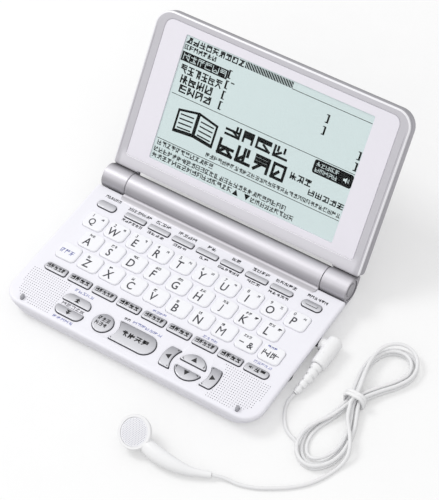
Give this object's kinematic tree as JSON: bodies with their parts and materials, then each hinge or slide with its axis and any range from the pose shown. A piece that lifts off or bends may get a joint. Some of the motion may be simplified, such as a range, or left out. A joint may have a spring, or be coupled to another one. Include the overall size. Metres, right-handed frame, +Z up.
{
  "type": "electronic dictionary",
  "caption": "Pocket electronic dictionary with a hinged screen lid, a full keyboard deck, a cell-holding hinge barrel and a plugged-in wired single earphone with a tied cord hank.",
  "frame": {"origin": "on the table under the middle of the opened device, midway between the front edge of the base and the rearmost edge of the lid", "axes": "+X to the user's right along the hinge, +Y from the front edge towards the hinge, +Z up from the table"},
  "size_m": [0.195, 0.1912, 0.0819],
  "materials": {
    "casing": "fine matt moulded plastic, lavender white",
    "silver_plastic": "silver painted plastic",
    "letter_caps": "white moulded plastic",
    "lid_shell": "satin silver lavender plastic",
    "panel": "pale satin sheet",
    "window": "clear hard window over the display",
    "display": "sealed display module",
    "board": "green circuit board",
    "rubber": "soft grey rubber",
    "dark_plastic": "black moulded plastic",
    "pins": "bright steel",
    "cells": "wrapped dry cell, without print",
    "earphone_white": "white moulded plastic",
    "cord_white": "white flexible cord jacket",
    "grille": "fine perforated metal"
  },
  "bodies": {
    "base": {"base_bottom_case": "casing", "base_top_case": "casing", "hinge_barrel": "silver_plastic", "main_board": "board", "speaker_left": "dark_plastic", "speaker_right": "dark_plastic", "battery_cell_left": "cells", "battery_cell_right": "cells", "earphone_jack": "dark_plastic", "lid_bumper_left": "rubber", "lid_bumper_right": "rubber", "hinge_pin_left": "pins", "hinge_pin_right": "pins"},
    "lid": {"lid_back_cover": "lid_shell", "lid_front_frame": "lid_shell", "screen_panel": "panel", "display_window": "window", "display_module": "display", "hinge_knuckle_left": "silver_plastic", "hinge_knuckle_right": "silver_plastic"},
    "battery_door": {"battery_door": "casing"},
    "volume_dial": {"volume_dial": "dark_plastic"},
    "earphone": {"earphone_plug": "earphone_white", "plug_pin": "pins", "plug_strain_relief": "earphone_white", "cord_lead": "cord_white", "cord_hank": "cord_white", "cord_tie": "earphone_white", "cord_tail": "cord_white", "earbud_housing": "earphone_white", "earbud_grille": "grille"},
    "key_power": {"key_power": "silver_plastic"},
    "key_backlight": {"key_backlight": "silver_plastic"},
    "key_mode_1": {"key_mode_1": "silver_plastic"},
    "key_mode_2": {"key_mode_2": "silver_plastic"},
    "key_mode_3": {"key_mode_3": "silver_plastic"},
    "key_mode_4": {"key_mode_4": "silver_plastic"},
    "key_mode_5": {"key_mode_5": "silver_plastic"},
    "key_mode_6": {"key_mode_6": "silver_plastic"},
    "key_mode_7": {"key_mode_7": "silver_plastic"},
    "key_function_1": {"key_function_1": "silver_plastic"},
    "key_function_2": {"key_function_2": "silver_plastic"},
    "key_function_3": {"key_function_3": "silver_plastic"},
    "key_function_4": {"key_function_4": "silver_plastic"},
    "key_function_5": {"key_function_5": "silver_plastic"},
    "key_function_6": {"key_function_6": "silver_plastic"},
    "key_function_7": {"key_function_7": "silver_plastic"},
    "key_function_8": {"key_function_8": "silver_plastic"},
    "key_function_9": {"key_function_9": "silver_plastic"},
    "key_page_up": {"key_page_up": "silver_plastic"},
    "key_page_down": {"key_page_down": "silver_plastic"},
    "key_back": {"key_back": "silver_plastic"},
    "key_enter": {"key_enter": "silver_plastic"},
    "key_arrow_up": {"key_arrow_up": "silver_plastic"},
    "key_arrow_down": {"key_arrow_down": "silver_plastic"},
    "key_arrow_left": {"key_arrow_left": "silver_plastic"},
    "key_arrow_right": {"key_arrow_right": "silver_plastic"},
    "letter_row_top": {"letter_row_top": "letter_caps"},
    "letter_row_middle": {"letter_row_middle": "letter_caps"},
    "letter_row_bottom": {"letter_row_bottom": "letter_caps"}
  },
  "joints": [
    {"name": "lid_hinge", "type": "hinge", "parent": "base", "child": "lid", "pos_m": [0, 0.013, 0.01125], "axis": [1, 0, 0], "range_deg": [-21.8, 128.2]},
    {"name": "battery_door_slide", "type": "slide", "parent": "base", "child": "battery_door", "axis": [0, 1, 0], "range_m": [0, 0.008]},
    {"name": "volume_dial_turn", "type": "hinge", "parent": "base", "child": "volume_dial", "pos_m": [0.06769, -0.0431, 0.007], "axis": [0, 0, 1], "range_deg": [-135, 135]},
    {"name": "earphone_plug_slide", "type": "slide", "parent": "base", "child": "earphone", "axis": [1, 0, 0], "range_m": [0, 0.015]},
    {"name": "key_power_press", "type": "slide", "parent": "base", "child": "key_power", "axis": [0, 0, -1], "range_m": [0, 0.0006], "stiffness_N_per_m": 600, "springref_m": -0.0003},
    {"name": "key_backlight_press", "type": "slide", "parent": "base", "child": "key_backlight", "axis": [0, 0, -1], "range_m": [0, 0.0006], "stiffness_N_per_m": 600, "springref_m": -0.0003},
    {"name": "key_mode_1_press", "type": "slide", "parent": "base", "child": "key_mode_1", "axis": [0, 0, -1], "range_m": [0, 0.0006], "stiffness_N_per_m": 600, "springref_m": -0.0003},
    {"name": "key_mode_2_press", "type": "slide", "parent": "base", "child": "key_mode_2", "axis": [0, 0, -1], "range_m": [0, 0.0006], "stiffness_N_per_m": 600, "springref_m": -0.0003},
    {"name": "key_mode_3_press", "type": "slide", "parent": "base", "child": "key_mode_3", "axis": [0, 0, -1], "range_m": [0, 0.0006], "stiffness_N_per_m": 600, "springref_m": -0.0003},
    {"name": "key_mode_4_press", "type": "slide", "parent": "base", "child": "key_mode_4", "axis": [0, 0, -1], "range_m": [0, 0.0006], "stiffness_N_per_m": 600, "springref_m": -0.0003},
    {"name": "key_mode_5_press", "type": "slide", "parent": "base", "child": "key_mode_5", "axis": [0, 0, -1], "range_m": [0, 0.0006], "stiffness_N_per_m": 600, "springref_m": -0.0003},
    {"name": "key_mode_6_press", "type": "slide", "parent": "base", "child": "key_mode_6", "axis": [0, 0, -1], "range_m": [0, 0.0006], "stiffness_N_per_m": 600, "springref_m": -0.0003},
    {"name": "key_mode_7_press", "type": "slide", "parent": "base", "child": "key_mode_7", "axis": [0, 0, -1], "range_m": [0, 0.0006], "stiffness_N_per_m": 600, "springref_m": -0.0003},
    {"name": "key_function_1_press", "type": "slide", "parent": "base", "child": "key_function_1", "axis": [0, 0, -1], "range_m": [0, 0.0006], "stiffness_N_per_m": 600, "springref_m": -0.0003},
    {"name": "key_function_2_press", "type": "slide", "parent": "base", "child": "key_function_2", "axis": [0, 0, -1], "range_m": [0, 0.0006], "stiffness_N_per_m": 600, "springref_m": -0.0003},
    {"name": "key_function_3_press", "type": "slide", "parent": "base", "child": "key_function_3", "axis": [0, 0, -1], "range_m": [0, 0.0006], "stiffness_N_per_m": 600, "springref_m": -0.0003},
    {"name": "key_function_4_press", "type": "slide", "parent": "base", "child": "key_function_4", "axis": [0, 0, -1], "range_m": [0, 0.0006], "stiffness_N_per_m": 600, "springref_m": -0.0003},
    {"name": "key_function_5_press", "type": "slide", "parent": "base", "child": "key_function_5", "axis": [0, 0, -1], "range_m": [0, 0.0006], "stiffness_N_per_m": 600, "springref_m": -0.0003},
    {"name": "key_function_6_press", "type": "slide", "parent": "base", "child": "key_function_6", "axis": [0, 0, -1], "range_m": [0, 0.0006], "stiffness_N_per_m": 600, "springref_m": -0.0003},
    {"name": "key_function_7_press", "type": "slide", "parent": "base", "child": "key_function_7", "axis": [0, 0, -1], "range_m": [0, 0.0006], "stiffness_N_per_m": 600, "springref_m": -0.0003},
    {"name": "key_function_8_press", "type": "slide", "parent": "base", "child": "key_function_8", "axis": [0, 0, -1], "range_m": [0, 0.0006], "stiffness_N_per_m": 600, "springref_m": -0.0003},
    {"name": "key_function_9_press", "type": "slide", "parent": "base", "child": "key_function_9", "axis": [0, 0, -1], "range_m": [0, 0.0006], "stiffness_N_per_m": 600, "springref_m": -0.0003},
    {"name": "key_page_up_press", "type": "slide", "parent": "base", "child": "key_page_up", "axis": [0, 0, -1], "range_m": [0, 0.0006], "stiffness_N_per_m": 600, "springref_m": -0.0003},
    {"name": "key_page_down_press", "type": "slide", "parent": "base", "child": "key_page_down", "axis": [0, 0, -1], "range_m": [0, 0.0006], "stiffness_N_per_m": 600, "springref_m": -0.0003},
    {"name": "key_back_press", "type": "slide", "parent": "base", "child": "key_back", "axis": [0, 0, -1], "range_m": [0, 0.0006], "stiffness_N_per_m": 600, "springref_m": -0.0003},
    {"name": "key_enter_press", "type": "slide", "parent": "base", "child": "key_enter", "axis": [0, 0, -1], "range_m": [0, 0.0006], "stiffness_N_per_m": 600, "springref_m": -0.0003},
    {"name": "key_arrow_up_press", "type": "slide", "parent": "base", "child": "key_arrow_up", "axis": [0, 0, -1], "range_m": [0, 0.0006], "stiffness_N_per_m": 600, "springref_m": -0.0003},
    {"name": "key_arrow_down_press", "type": "slide", "parent": "base", "child": "key_arrow_down", "axis": [0, 0, -1], "range_m": [0, 0.0006], "stiffness_N_per_m": 600, "springref_m": -0.0003},
    {"name": "key_arrow_left_press", "type": "slide", "parent": "base", "child": "key_arrow_left", "axis": [0, 0, -1], "range_m": [0, 0.0006], "stiffness_N_per_m": 600, "springref_m": -0.0003},
    {"name": "key_arrow_right_press", "type": "slide", "parent": "base", "child": "key_arrow_right", "axis": [0, 0, -1], "range_m": [0, 0.0006], "stiffness_N_per_m": 600, "springref_m": -0.0003},
    {"name": "letter_row_top_press", "type": "slide", "parent": "base", "child": "letter_row_top", "axis": [0, 0, -1], "range_m": [0, 0.0006], "stiffness_N_per_m": 800, "springref_m": -0.0003},
    {"name": "letter_row_middle_press", "type": "slide", "parent": "base", "child": "letter_row_middle", "axis": [0, 0, -1], "range_m": [0, 0.0006], "stiffness_N_per_m": 800, "springref_m": -0.0003},
    {"name": "letter_row_bottom_press", "type": "slide", "parent": "base", "child": "letter_row_bottom", "axis": [0, 0, -1], "range_m": [0, 0.0006], "stiffness_N_per_m": 800, "springref_m": -0.0003}
  ]
}
